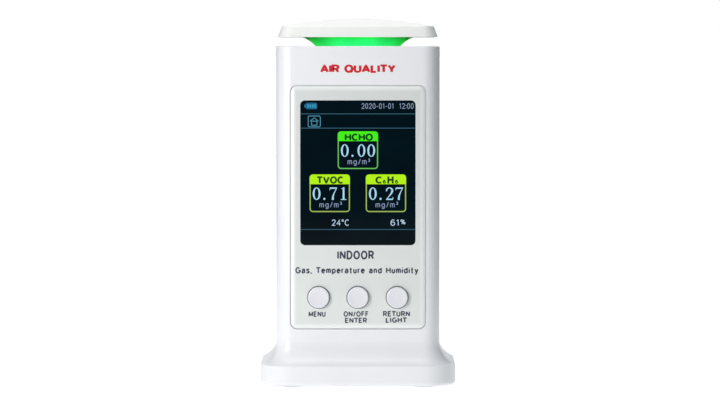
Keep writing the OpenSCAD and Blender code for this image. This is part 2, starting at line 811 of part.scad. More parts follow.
battery_back_y = rear_y - wall - battery_tape_t;
module battery_pack() {
    color("lightsteelblue") translate([0, battery_back_y - battery[1] / 2, battery_low])
        linear_extrude(battery[2]) rounded(battery[0], battery[1], 3);
}
module battery_tape() {
    color("khaki") translate([-12, battery_back_y, battery_low + 5])
        cube([24, battery_tape_t, battery[2] - 10]);
}

charge_edge_y = charge_screw_y - 3.5;
module charge_board() {
    color("darkgreen") translate([0, 0, charge_z]) difference() {
        translate([-10, charge_edge_y, 0]) cube([20, rear_y - wall - 0.1 - charge_edge_y, charge_board_t]);
        for (x = charge_spots) translate([x, charge_screw_y, -cut]) cylinder(r = 1.2, h = 4);
    }
}

socket_h = 2.7;
socket_mouth_y = rear_y - 0.5;
module charge_socket() {
    z = charge_z + charge_board_t;
    color("silver") difference() {
        translate([-3.8, socket_mouth_y - 5.6, z]) cube([7.6, 5.6, socket_h]);
        translate([-3.45, socket_mouth_y - 4.8, z + 0.35]) cube([6.9, 5, socket_h - 0.7]);
    }
}
module charge_tongue() {
    color("black") translate([-2.6, socket_mouth_y - 4.8, charge_z + charge_board_t + 1.35])
        cube([5.2, 4, 0.55]);
}

// ---------- leads ----------

lead_gap = 0.15;    // room at each end of a lead
header_front_y = board_back_y + header[1] + lead_gap;
module led_lead() {
    p = header_spots[2];
    color("red") wire_pair([[p[0], header_front_y, p[1]], [p[0], header_front_y + 1.5, p[1]],
        [-3, -2, 119], [-1, 0, 123], [0, 0, 127.5], [0, 0, body_top - ring_seat - lead_gap]]);
}
module fan_lead() {
    p = header_spots[1];
    color("red") wire_pair([[p[0], header_front_y, p[1]], [p[0], header_front_y + 1.5, p[1]],
        [20, 0, 89], [19, 8, 89.5], [18, 14, 92], [17, 15.5, 96], [16.6, 16, 100]]);
}
module battery_lead() {
    p = header_spots[0];
    color("red") wire_pair([[p[0], header_front_y, p[1]], [p[0], header_front_y + 1.5, p[1]],
        [-18, 0, 80], [-15, 8, 85.5], [-12, 15, 87], [-11, 17, 86],
        [-11, 17, battery_low + battery[2] + lead_gap]]);
}
module charge_lead() {
    p = header_spots[3];
    color("red") wire_pair([[p[0], header_front_y, p[1]], [p[0], header_front_y + 1.5, p[1]],
        [0, -1, 28], [0, 3, 24], [0, 6.5, charge_z + 0.6], [0, charge_edge_y - lead_gap, charge_z + 0.6]]);
}

// ---------- label and screws ----------

module rating_label() {
    color("silver") upright(rear_y - 0.3, 0.25) translate([0, 60]) rounded(38, 24, 1.3);
}

module shell_screws() {
    color("silver") for (s = [-1, 1], p = [shell_screw_low, shell_screw_high])
        screw_from_rear(s * p[0], screw_seat_y, p[1], 1.1, 12, 2.1, 1.6);
}
module board_screws() {
    color("silver") for (p = board_screw_spots) screw_from_rear(p[0], board_back_y, p[1], 1, 6, 2, 1.4);
}
module cover_screws() {
    color("silver") for (p = cover_screw_spots) translate([p[0], p[1], base_low + 1])
        rotate([180, 0, 0]) screw(1, 7, 2.1, 0.9);
}
module cap_screws() {
    color("silver") cap_screw_places() translate([0, 0, deck_low])
        rotate([180, 0, 0]) screw(0.9, 9, 1.9, 1.3);
}
module fan_screws() {
    color("silver") fan_corners() translate([0, fan_y, 0])
        rotate([90, 0, 0]) screw(0.9, 10, 1.9, 1.2);
}
module charge_screws() {
    color("silver") for (x = charge_spots) translate([x, charge_screw_y, charge_z + charge_board_t])
        screw(0.9, 3.4, 1.8, 1.2);
}

front_shell();
rear_shell();
bottom_cover();
top_deck();
top_cap();
cap_plate();
light_guide();
front_panel();
panel_tape();
display_window();
lcd_gasket();
lcd_glass();
lcd_backlight();
lcd_bracket();
ribbon_cable();
ribbon_socket();
menu_button();
power_button();
return_button();
menu_plunger();
power_plunger();
return_plunger();
switch_bodies();
main_board();
processor();
board_parts();
lead_headers();
buzzer();
formaldehyde_sensor();
voc_sensor();
humidity_sensor();
led_board();
status_leds();
led_lead();
fan_frame();
fan_stator();
fan_rotor();
fan_lead();
battery_pack();
battery_tape();
battery_lead();
charge_board();
charge_socket();
charge_tongue();
charge_lead();
rating_label();
rubber_feet();
shell_screws();
board_screws();
cover_screws();
cap_screws();
fan_screws();
charge_screws();
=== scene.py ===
"""The looks of a desk-top air quality monitor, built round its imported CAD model.

Everything is in metres in the model's own frame: origin under the middle of the base, +Z up,
the display facing -Y. Sizes below are given in millimetres and multiplied by MM.
"""
import math

import bpy
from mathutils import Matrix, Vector


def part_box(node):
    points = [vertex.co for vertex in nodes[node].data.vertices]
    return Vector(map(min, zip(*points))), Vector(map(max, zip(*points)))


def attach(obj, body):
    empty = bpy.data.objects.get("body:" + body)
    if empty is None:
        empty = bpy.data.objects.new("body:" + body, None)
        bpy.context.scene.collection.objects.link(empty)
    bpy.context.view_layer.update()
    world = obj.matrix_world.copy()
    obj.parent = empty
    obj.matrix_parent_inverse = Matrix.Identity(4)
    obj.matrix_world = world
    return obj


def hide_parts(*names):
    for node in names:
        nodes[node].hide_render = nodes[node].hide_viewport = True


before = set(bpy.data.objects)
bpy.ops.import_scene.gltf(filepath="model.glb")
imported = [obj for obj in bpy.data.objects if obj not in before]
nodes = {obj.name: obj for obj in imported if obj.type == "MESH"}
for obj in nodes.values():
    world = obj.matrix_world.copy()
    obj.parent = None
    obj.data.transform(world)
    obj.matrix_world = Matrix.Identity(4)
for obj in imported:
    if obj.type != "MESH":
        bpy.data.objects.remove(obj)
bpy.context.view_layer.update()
MM = 0.001


# ---------- colours ----------

def linear(r, g, b):
    """An sRGB colour from 0 to 255 as linear RGBA."""
    def channel(v):
        v /= 255
        return v / 12.92 if v <= 0.04045 else ((v + 0.055) / 1.055) ** 2.4
    return (channel(r), channel(g), channel(b), 1)


# ---------- places taken from the frame ----------

def mm_box(node):
    """Lowest and highest corner of a node, in millimetres."""
    low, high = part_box(node)
    return Vector(low) / MM, Vector(high) / MM


PANEL_LOW, PANEL_HIGH = mm_box("front_panel")
LENS_LOW, LENS_HIGH = mm_box("display_window")
CAP_LOW, CAP_HIGH = mm_box("top_cap")
TOWER_TOP = mm_box("front_shell")[1].z
UPPER_POINTS = [v.co for v in nodes["front_shell"].data.vertices if v.co.z > 0.9 * TOWER_TOP * MM]
TOWER_FRONT = min(point.y for point in UPPER_POINTS) / MM
PANEL_FACE = PANEL_LOW.y
PANEL_MID = (PANEL_LOW.z + PANEL_HIGH.z) / 2
SCREEN_FACE = LENS_LOW.y
SCREEN_MID = (LENS_LOW.z + LENS_HIGH.z) / 2
SCREEN_HALF_W = 22.0                     # half the visible width of the window
PRINT_T = 0.015                          # thickness of printed ink
PICTURE_T = 0.02                         # thickness of the display's picture layer


# ---------- node-based materials ----------

class Shader:
    """A material whose nodes are added and linked in one call each."""

    def __init__(self, name):
        self.material = bpy.data.materials.new(name)
        self.material.use_nodes = True
        self.tree = self.material.node_tree
        self.bsdf = self.tree.nodes["Principled BSDF"]
        self.place = self.add("ShaderNodeTexCoord").outputs["Object"]

    def add(self, kind, inputs=None, **settings):
        node = self.tree.nodes.new(kind)
        for key, value in settings.items():
            setattr(node, key, value)
        for key, value in (inputs or {}).items():
            self.set(node.inputs[key], value)
        return node

    def set(self, socket, value):
        if isinstance(value, bpy.types.NodeSocket):
            self.tree.links.new(value, socket)
        else:
            socket.default_value = value

    def principled(self, **inputs):
        for key, value in inputs.items():
            self.set(self.bsdf.inputs[key.replace("_", " ")], value)

    def noise(self, size_mm, detail=2.0, roughness=0.5):
        """Noise whose grain is about size_mm across, from 0 to 1."""
        return self.add("ShaderNodeTexNoise", {"Vector": self.place, "Scale": 1 / (size_mm * MM),
                                               "Detail": detail, "Roughness": roughness}).outputs["Fac"]

    def remap(self, value, low, high, from_low=0.3, from_high=0.7):
        return self.add("ShaderNodeMapRange", {"Value": value, "From Min": from_low, "From Max": from_high,
                                               "To Min": low, "To Max": high}).outputs["Result"]

    def math(self, operation, a, b=0.0):
        return self.add("ShaderNodeMath", {0: a, 1: b}, operation=operation).outputs[0]

    def mix(self, factor, a, b):
        node = self.add("ShaderNodeMix", data_type="RGBA")
        self.set(node.inputs[0], factor)
        self.set(node.inputs[6], a)
        self.set(node.inputs[7], b)
        return node.outputs[2]

    def axis(self, name):
        return self.add("ShaderNodeSeparateXYZ", {"Vector": self.place}).outputs[name]

    def bump(self, height, depth_mm):
        node = self.add("ShaderNodeBump", {"Height": height, "Distance": depth_mm * MM, "Strength": 1.0})
        self.set(self.bsdf.inputs["Normal"], node.outputs["Normal"])


def shade(colour, factor):
    return (colour[0] * factor, colour[1] * factor, colour[2] * factor, 1)


def moulded(name, colour, roughness=0.4, grain_mm=0.35, grain_depth=0.006, vary=0.025, coat=0.0, soft=0.0):
    """Injection-moulded plastic: a fine spark-eroded grain, slow changes of gloss and of tone."""
    s = Shader(name)
    tone = s.remap(s.noise(26, 1), 0, 1)
    s.principled(
        Base_Color=s.mix(tone, shade(colour, 1 - vary), shade(colour, 1 + vary)),
        Roughness=s.remap(s.noise(4.5, 3), roughness - 0.04, roughness + 0.05),
        Coat_Weight=coat, Coat_Roughness=0.18)
    if soft > 0:
        s.principled(Subsurface_Weight=soft, Subsurface_Radius=(1.0, 0.95, 0.9), Subsurface_Scale=0.8 * MM)
    s.bump(s.noise(grain_mm, 2, 0.6), grain_depth)
    return s.material


def metal(name, colour, roughness=0.3, scratch_mm=0.25):
    """Plated or pressed metal with fine uneven brushing."""
    s = Shader(name)
    fine = s.noise(scratch_mm, 4, 0.7)
    s.principled(Base_Color=s.mix(s.remap(s.noise(3, 2), 0, 1), shade(colour, 0.88), shade(colour, 1.05)),
                 Metallic=1.0, Roughness=s.remap(fine, roughness - 0.08, roughness + 0.12))
    s.bump(fine, 0.004)
    return s.material


def ink(name, colour, roughness=0.42):
    """Screen-printed ink, slightly uneven like the film it leaves."""
    s = Shader(name)
    s.principled(Base_Color=s.mix(s.remap(s.noise(0.5, 3), 0, 1), shade(colour, 0.9), shade(colour, 1.12)),
                 Roughness=roughness)
    s.bump(s.noise(0.12, 2), 0.002)
    return s.material


def pixels(s, dim=0.88, pitch_mm=0.18):
    """Brightness of the display's pixel grid: a thin darker line between square pixels."""
    waves = []
    for axis in "XZ":
        phase = s.math("MULTIPLY", s.axis(axis), 2 * math.pi / (pitch_mm * MM))
        waves.append(s.math("COSINE", phase))
    both = s.math("MULTIPLY", s.math("ADD", waves[0], waves[1]), 0.5)
    return s.remap(both, dim, 1.0, -1.0, 0.2)


def lit(name, colour):
    """A lit area of the display, with its pixel grid."""
    s = Shader(name)
    s.principled(Base_Color=(0.002, 0.004, 0.005, 1), Roughness=0.12, Specular_IOR_Level=0.02,
                 Emission_Color=colour, Emission_Strength=pixels(s))
    return s.material


def lens_material():
    """Dark window over the display: near black, with the faint blue of a lit, dark picture."""
    s = Shader("display_lens")
    height = s.remap(s.axis("Z"), 0, 1, (SCREEN_MID - 28) * MM, (SCREEN_MID - 14) * MM)
    glow = s.mix(height, linear(14, 24, 28), linear(2, 19, 27))
    patch = s.remap(s.noise(14, 1), 0.75, 1.1)
    s.principled(Base_Color=(0.0008, 0.0012, 0.0016, 1), Roughness=s.remap(s.noise(6, 2), 0.05, 0.09),
                 Specular_IOR_Level=0.02, Emission_Color=glow,
                 Emission_Strength=s.math("MULTIPLY", s.math("MULTIPLY", pixels(s, 0.9), patch), 0.85))
    return s.material


def shell_material():
    return moulded("white_shell", linear(232, 233, 236), roughness=0.36, grain_depth=0.004,
                   vary=0.012, coat=0.15, soft=0.06)


def panel_material():
    """Satin grey panel. Its colour carries painted light: lighter towards its lower end, and a painted
    highlight along its bevelled border.
    """
    s = Shader("grey_panel")
    # painted light: the panel's colour gets lighter towards its lower end
    height = s.remap(s.axis("Z"), 0, 1, PANEL_LOW.z * MM, (PANEL_MID + 10) * MM)
    tone = s.mix(height, linear(219, 223, 220), linear(211, 215, 213))
    rise = s.math("ABSOLUTE", s.math("SUBTRACT", s.axis("Z"), PANEL_MID * MM))
    edge_x = s.math("SUBTRACT", PANEL_HIGH.x * MM, s.math("ABSOLUTE", s.axis("X")))
    edge_z = s.math("SUBTRACT", (PANEL_HIGH.z - PANEL_MID) * MM, rise)
    highlight_start, highlight_end = 0.6 * MM, 2.4 * MM    # from the edge, where the painted highlight along the border starts to fade and is gone
    # painted highlight: the colour is lighter along the bevelled border, where the bevel catches the light
    border = s.remap(s.math("MINIMUM", edge_x, edge_z), 1, 0, highlight_start, highlight_end)
    tone = s.mix(border, tone, linear(240, 243, 242))
    s.principled(Base_Color=s.mix(s.remap(s.noise(18, 2), 0, 0.1), tone, linear(192, 202, 204)),
                 Roughness=s.remap(s.noise(3, 3), 0.38, 0.46), Coat_Weight=0.5, Coat_Roughness=0.14)
    s.bump(s.noise(0.22, 2, 0.6), 0.004)
    return s.material


def ring_material():
    """Clear ring lit from inside, brighter over each LED. Its colour carries painted light: brightest near
    its middle, a painted shade of deeper, darker green towards its sides, and a painted shadow darkening its
    top under the cap.
    """
    s = Shader("lit_ring")
    across = s.math("ABSOLUTE", s.axis("X"))
    shade_start, shade_full = 6 * MM, 20 * MM    # from the middle, where the painted shade of the sides starts and is full
    # painted shade: the glow turns a darker green towards the ring's sides, where it turns away
    side = s.remap(across, 0, 1, shade_start, shade_full)
    angle = s.math("ARCTAN2", s.axis("Y"), s.axis("X"))
    spots = s.remap(s.math("COSINE", s.math("MULTIPLY", angle, LED_WAVES)), 0.93, 1.05, -1, 1)
    # painted shadow: the glow darkens towards the ring's top, under the cap
    rise = s.math("POWER", s.remap(s.axis("Z"), 0, 1, TOWER_TOP * MM, CAP_LOW.z * MM), 2.0)
    middle = s.mix(rise, linear(46, 255, 126), linear(10, 216, 48))
    colour = s.mix(side, middle, s.mix(rise, linear(20, 172, 22), linear(2, 70, 4)))
    s.principled(Base_Color=linear(8, 60, 20), Roughness=0.25, Emission_Color=colour,
                 Emission_Strength=spots)
    s.bump(s.noise(0.5, 2), 0.01)
    return s.material


def board_material():
    """Green solder resist with the faint relief of copper tracks under it."""
    s = Shader("circuit_board")
    tracks = s.add("ShaderNodeTexBrick", {"Vector": s.place, "Scale": 1 / (9 * MM), "Mortar Size": 0.06,
                                          "Color1": (0.008, 0.14, 0.05, 1), "Color2": (0.01, 0.17, 0.06, 1),
                                          "Mortar": (0.02, 0.26, 0.1, 1)}).outputs["Color"]
    s.principled(Base_Color=s.mix(s.remap(s.noise(2, 3), 0, 0.35), tracks, (0.006, 0.1, 0.04, 1)),
                 Roughness=0.3)
    s.bump(s.noise(0.6, 3), 0.01)
    return s.material


def foil_material(name, colour, roughness):
    """Heat-sealed or stuck film with shallow wrinkles."""
    s = Shader(name)
    wrinkle = s.noise(2.5, 4, 0.65)
    s.principled(Base_Color=s.mix(s.remap(wrinkle, 0, 1), shade(colour, 0.85), shade(colour, 1.1)),
                 Roughness=roughness, Coat_Weight=0.3)
    s.bump(wrinkle, 0.08)
    return s.material


def label_material():
    """Blank silver film label, with a thin printed border drawn by its own coordinates."""
    low, high = mm_box("rating_label")
    s = Shader("blank_label")
    edge_x = s.math("SUBTRACT", (high.x - low.x) / 2 * MM, s.math("ABSOLUTE", s.axis("X")))
    rise = s.math("SUBTRACT", s.axis("Z"), (high.z + low.z) / 2 * MM)
    edge_z = s.math("SUBTRACT", (high.z - low.z) / 2 * MM, s.math("ABSOLUTE", rise))
    edge = s.math("MINIMUM", edge_x, edge_z)
    line = s.math("LESS_THAN", s.math("ABSOLUTE", s.math("SUBTRACT", edge, 1.3 * MM)), 0.12 * MM)
    film = s.mix(s.remap(s.noise(9, 2), 0, 1), linear(196, 198, 201), linear(208, 210, 213))
    s.principled(Base_Color=s.mix(line, film, linear(90, 92, 96)), Roughness=0.34, Metallic=0.35)
    s.bump(s.noise(0.2, 2), 0.003)
    return s.material


def floor_material():
    s = Shader("pale_floor")
    s.principled(Base_Color=s.mix(s.remap(s.noise(180, 2), 0, 1), (0.5, 0.5, 0.5, 1), (0.54, 0.54, 0.54, 1)),
                 Roughness=0.7, Specular_IOR_Level=0.1, Emission_Color=(1, 1, 1, 1), Emission_Strength=0.66)
    s.bump(s.noise(2.0, 2), 0.02)
    return s.material


LED_WAVES = 9.0                          # bright spots round the ring

WHITE = shell_material()
CAP_WHITE = moulded("white_cap", linear(235, 236, 234), roughness=0.34, grain_depth=0.0012, vary=0.01,
                    coat=0.2, soft=0.06)
BUTTON_WHITE = moulded("button_white", linear(221, 222, 227), roughness=0.34, grain_mm=0.25,
                       grain_depth=0.003, vary=0.01, coat=0.2)
BLACK = moulded("black_plastic", linear(34, 34, 36), roughness=0.5, vary=0.1)
CHIP = moulded("chip_black", linear(40, 40, 42), roughness=0.42, grain_mm=0.15, vary=0.08)
CREAM = moulded("cream_plastic", linear(228, 224, 210), roughness=0.45)
RUBBER = moulded("rubber", linear(42, 42, 43), roughness=0.8, grain_mm=0.5, grain_depth=0.02, vary=0.12)
STEEL = metal("plated_steel", linear(200, 201, 205))
BRASS = metal("brass_can", linear(214, 176, 96), 0.28)
COPPER = metal("copper_wire", linear(200, 116, 62), 0.35, 0.15)
BOARD = board_material()

NODE_MATERIALS = {
    WHITE: ["front_shell", "rear_shell", "bottom_cover", "top_deck"],
    CAP_WHITE: ["cap_plate"],
    ring_material(): ["light_guide"],
    panel_material(): ["front_panel"],
    lens_material(): ["display_window"],
    BUTTON_WHITE: ["menu_button", "power_button", "return_button"],
    BLACK: ["menu_plunger", "power_plunger", "return_plunger", "switch_bodies", "charge_tongue", "fan_frame",
            "fan_rotor", "buzzer"],
    CHIP: ["processor", "board_parts"],
    CREAM: ["ribbon_socket", "lead_headers", "lcd_bracket", "status_leds"],
    RUBBER: ["lcd_gasket"],
    moulded("pale_rubber", linear(208, 210, 212), roughness=0.75, grain_mm=0.5, grain_depth=0.01): [
        "rubber_feet"],
    STEEL: ["shell_screws", "board_screws", "cover_screws", "cap_screws", "fan_screws", "charge_screws",
            "charge_socket", "lcd_backlight"],
    metal("sensor_steel", linear(205, 207, 211), 0.26): ["formaldehyde_sensor"],
    BRASS: ["voc_sensor"],
    COPPER: ["fan_stator"],
    BOARD: ["main_board", "led_board", "charge_board"],
    moulded("blue_plastic", linear(70, 130, 200), roughness=0.4): ["humidity_sensor"],
    moulded("red_wire", linear(190, 30, 30), roughness=0.38, grain_mm=0.6): ["led_lead", "fan_lead",
                                                                           "battery_lead", "charge_lead"],
    foil_material("battery_foil", linear(176, 190, 208), 0.3): ["battery_pack"],
    foil_material("amber_film", linear(196, 128, 40), 0.28): ["ribbon_cable"],
    foil_material("sticky_tape", linear(222, 212, 178), 0.5): ["panel_tape", "battery_tape"],
    foil_material("dark_glass", linear(30, 38, 44), 0.1): ["lcd_glass"],
    label_material(): ["rating_label"],
}
for material, names in NODE_MATERIALS.items():
    for name in names:
        slots = nodes[name].data.materials
        slots.clear()
        slots.append(material)


# ---------- mesh helpers ----------

def add_mesh(name, points, faces, material, smooth=False):
    """A mesh object from points in millimetres."""
    mesh = bpy.data.meshes.new(name)
    mesh.from_pydata([Vector(p) * MM for p in points], [], faces)
    mesh.validate()
    mesh.update()
    mesh.materials.append(material)
    if smooth:
        mesh.shade_smooth()
    obj = bpy.data.objects.new(name, mesh)
    bpy.context.collection.objects.link(obj)
    return obj


def slab(outline, y, thickness):
    """Points and faces of a flat slab that faces -Y. The outline is (x, z) points, anticlockwise as seen."""
    n = len(outline)
    points = [(x, y - thickness, z) for x, z in outline] + [(x, y, z) for x, z in outline]
    faces = [list(range(n)), list(range(2 * n - 1, n - 1, -1))]
    faces += [[i, i + n, (i + 1) % n + n, (i + 1) % n] for i in range(n)]
    return points, faces


def frame_slab(outer, inner, y, thickness):
    """As slab, but the area between two outlines with the same number of points."""
    n = len(outer)
    rings = [(outer, y - thickness), (inner, y - thickness), (inner, y), (outer, y)]
    points = [(x, level, z) for ring, level in rings for x, z in ring]
    faces = []
    for k in range(4):
        a, b = k * n, (k + 1) % 4 * n
        faces += [[a + i, a + (i + 1) % n, b + (i + 1) % n, b + i] for i in range(n)]
    return points, faces


def joined(parts):
    """Several (points, faces) as one."""
    points, faces = [], []
    for some_points, some_faces in parts:
        base = len(points)
        points += some_points
        faces += [[i + base for i in face] for face in some_faces]
    return points, faces


def rounded_outline(x, z, w, h, r, steps=6, corners=(1, 1, 1, 1)):
    """Rounded rectangle round (x, z), anticlockwise from its upper right corner."""
    signs = [(1, 1), (-1, 1), (-1, -1), (1, -1)]
    points = []
    for quarter, (sx, sz) in enumerate(signs):
        radius = r if corners[quarter] else 0.01
        for k in range(steps + 1):
            t = math.radians(90 * (quarter + k / steps))
            points.append((x + sx * (w / 2 - radius) + radius * math.cos(t),
                           z + sz * (h / 2 - radius) + radius * math.sin(t)))
    return points


def curve_points(points, steps=6):
    """A smooth line through the points."""
    result = []
    for i in range(len(points) - 1):
        a, b = points[max(i - 1, 0)], points[i]
        c, d = points[i + 1], points[min(i + 2, len(points) - 1)]
        for k in range(steps):
            t = k / steps
            result.append(tuple(
                0.5 * (2 * q + (r - p) * t + (2 * p - 5 * q + 4 * r - s) * t * t
                       + (3 * q - p - 3 * r + s) * t ** 3)
                for p, q, r, s in zip(a, b, c, d)))
    return result + [tuple(points[-1])]


def stroke(points, y, thickness):
    """A pen stroke through (x, z, width) points, as a slab."""
    left, right = [], []
    for i, (x, z, width) in enumerate(points):
        ahead = points[min(i + 1, len(points) - 1)]
        behind = points[max(i - 1, 0)]
        along = Vector((ahead[0] - behind[0], ahead[1] - behind[1])).normalized()
        side = Vector((-along.y, along.x)) * width / 2
        left.append((x + side.x, z + side.y))
        right.append((x - side.x, z - side.y))
    return slab(right + left[::-1], y, thickness)


def arc(x, z, across, up, start, end, steps=12):
    """Points along an oval round (x, z), from one angle in degrees to another."""
    turns = [math.radians(start + (end - start) * k / steps) for k in range(steps + 1)]
    return [(x + across * math.cos(t), z + up * math.sin(t)) for t in turns]


def oval(x, z, across, up):
    return arc(x, z, across, up, 0, 360, 24)


# Letters as the middle lines of pen strokes: the letter's width, then its lines. The unit is a
# capital's height. A line that ends where it starts is closed, and runs anticlockwise.
GLYPHS = {
    "A": (0.76, [[(0, 0), (0.36, 0.98)], [(0.4, 0.98), (0.76, 0)], [(0.3, 1), (0.46, 1)],
                 [(0.14, 0.3), (0.62, 0.3)]]),
    "C": (0.68, [arc(0.38, 0.5, 0.38, 0.5, 48, 312, 16)]),
    "D": (0.68, [[(0, 1), (0, 0)] + arc(0.28, 0.5, 0.4, 0.5, -90, 90) + [(0, 1)]]),
    "E": (0.56, [[(0.56, 1), (0, 1), (0, 0), (0.56, 0)], [(0, 0.52), (0.5, 0.52)]]),
    "F": (0.54, [[(0.54, 1), (0, 1), (0, 0)], [(0, 0.52), (0.46, 0.52)]]),
    "G": (0.76, [arc(0.39, 0.5, 0.39, 0.5, 48, 318, 16) + [(0.76, 0.27), (0.76, 0.47), (0.44, 0.47)]]),
    "H": (0.66, [[(0, 0), (0, 1)], [(0.66, 0), (0.66, 1)], [(0, 0.53), (0.66, 0.53)]]),
    "I": (0, [[(0, 0), (0, 1)]]),
    "L": (0.5, [[(0, 1), (0, 0), (0.5, 0)]]),
    "M": (0.88, [[(0, 0), (0, 1)], [(0.02, 1), (0.43, 0.1)], [(0.45, 0.1), (0.86, 1)],
                 [(0.88, 0), (0.88, 1)]]),
    "N": (0.7, [[(0, 0), (0, 1)], [(0.02, 0.98), (0.68, 0.02)], [(0.7, 0), (0.7, 1)]]),
    "O": (0.8, [oval(0.4, 0.5, 0.4, 0.5)]),
    "Q": (0.8, [oval(0.4, 0.5, 0.4, 0.5), [(0.48, 0.26), (0.8, -0.06)]]),
    "R": (0.64, [[(0, 0), (0, 1)] + arc(0.36, 0.735, 0.26, 0.265, 90, -90) + [(0, 0.47)],
                 [(0.34, 0.47), (0.64, 0)]]),
    "T": (0.58, [[(-0.1, 1), (0.68, 1)], [(0.29, 1), (0.29, 0)]]),
    "U": (0.64, [[(0, 1)] + arc(0.32, 0.31, 0.32, 0.31, 180, 360) + [(0.64, 1)]]),
    "V": (0.74, [[(0, 1), (0.35, 0.02)], [(0.39, 0.02), (0.74, 1)], [(0.3, 0), (0.44, 0)]]),
    "Y": (0.7, [[(0, 1), (0.35, 0.42)], [(0.35, 0.42), (0.7, 1)], [(0.35, 0.48), (0.35, 0)]]),
    "a": (0.47, [curve_points([(0.03, 0.54), (0.12, 0.69), (0.27, 0.72), (0.42, 0.66), (0.46, 0.5)], 4)
                 + [(0.46, 0)],
                 curve_points([(0.46, 0.42), (0.2, 0.39), (0.03, 0.3), (0.0, 0.17), (0.06, 0.04), (0.2, 0.0),
                               (0.36, 0.06), (0.46, 0.2)], 4)]),
    "d": (0.5, [[(0.5, 0), (0.5, 1)], oval(0.25, 0.36, 0.25, 0.36)]),
    "e": (0.5, [[(0.0, 0.38), (0.49, 0.38)] + arc(0.25, 0.36, 0.25, 0.36, 5, 318, 18)]),
    "g": (0.5, [oval(0.25, 0.36, 0.25, 0.36), [(0.5, 0.72)] + arc(0.25, -0.03, 0.25, 0.24, 0, -150)]),
    "i": (0, [[(0, 0), (0, 0.72)], [(0, 0.92), (0, 1.04)]]),
    "m": (0.7, [[(0, 0), (0, 0.72)], arc(0.175, 0.5, 0.175, 0.22, 180, 0) + [(0.35, 0)],
                arc(0.525, 0.5, 0.175, 0.22, 180, 0) + [(0.7, 0)]]),
    "n": (0.42, [[(0, 0), (0, 0.72)], arc(0.21, 0.48, 0.21, 0.24, 180, 0) + [(0.42, 0)]]),
    "p": (0.5, [[(0, 0.72), (0, -0.28)], oval(0.25, 0.36, 0.25, 0.36)]),
    "r": (0.24, [[(0, 0), (0, 0.72)], arc(0.2, 0.47, 0.2, 0.25, 180, 75)]),
    "s": (0.42, [curve_points([(0.4, 0.56), (0.33, 0.69), (0.2, 0.72), (0.07, 0.67), (0.03, 0.54),
                               (0.12, 0.42), (0.3, 0.33), (0.42, 0.22), (0.37, 0.06), (0.21, 0.0),
                               (0.06, 0.04), (0.0, 0.17)], 4)]),
    "t": (0.34, [[(0.14, 1), (0.14, 0.12), (0.2, 0.02), (0.33, 0.01)], [(-0.02, 0.66), (0.36, 0.66)]]),
    "u": (0.42, [[(0, 0.72)] + arc(0.21, 0.24, 0.21, 0.24, 180, 360) + [(0.42, 0.72)],
                 [(0.42, 0.3), (0.42, 0)]]),
    "y": (0.48, [[(0, 0.72), (0.24, 0.02)], [(0.48, 0.72), (0.2, -0.14), (0.12, -0.25), (0, -0.27)]]),
    "0": (0.56, [oval(0.28, 0.5, 0.28, 0.5)]),
    "1": (0.34, [[(0.02, 0.8), (0.24, 1), (0.24, 0)]]),
    "2": (0.56, [arc(0.28, 0.72, 0.27, 0.28, 170, -35) + [(0, 0), (0.56, 0)]]),
    "4": (0.6, [[(0.45, 0), (0.45, 1), (0, 0.29), (0.6, 0.29)]]),
    "6": (0.56, [oval(0.28, 0.31, 0.28, 0.31),
                 curve_points([(0.5, 0.86), (0.4, 0.98), (0.26, 1.0), (0.1, 0.85), (0.02, 0.6),
                               (0, 0.31)], 4)]),
    "³": (0.24, [curve_points([(0, 0.95), (0.1, 1.04), (0.22, 0.97), (0.2, 0.84), (0.1, 0.8)], 4),
                 curve_points([(0.1, 0.8), (0.23, 0.73), (0.24, 0.6), (0.12, 0.52), (0, 0.6)], 4)]),
    "%": (0.62, [oval(0.13, 0.84, 0.12, 0.15), oval(0.5, 0.42, 0.12, 0.15), [(0.14, 0.28), (0.48, 0.98)]]),
    "°": (0.26, [oval(0.13, 0.87, 0.12, 0.13)]),
    ":": (0, [[(0, 0), (0, 0.15)], [(0, 0.55), (0, 0.7)]]),
    ",": (0.04, [[(0.04, 0.07), (0.04, -0.03), (-0.02, -0.15)]]),
    "/": (0.34, [[(0, 0), (0.34, 1)]]),
    "-": (0.32, [[(0, 0.42), (0.32, 0.42)]]),
    " ": (0.24, []),
}


def pen_edges(points, width, closed):
    """The right and left edges of a line of even width."""
    right, left = [], []
    points = [Vector(p) for p in points]
    for i, here in enumerate(points):
        before = points[i - 1] if i or closed else here
        after = points[(i + 1) % len(points)] if closed else points[min(i + 1, len(points) - 1)]
        a, b = (here - before).normalized(), (after - here).normalized()
        a, b = (a if a.length else b), (b if b.length else a)
        side = Vector((-a.y - b.y, a.x + b.x)).normalized()
        square = side.dot(Vector((-a.y, a.x)))
        outer, inner = width / 2 / max(square, 0.68), width / 2 / max(square, 0.4)
        turns_left = a.x * b.y - a.y * b.x > 0
        left.append(tuple(here + side * (inner if turns_left else outer)))
        right.append(tuple(here - side * (outer if turns_left else inner)))
    return right, left


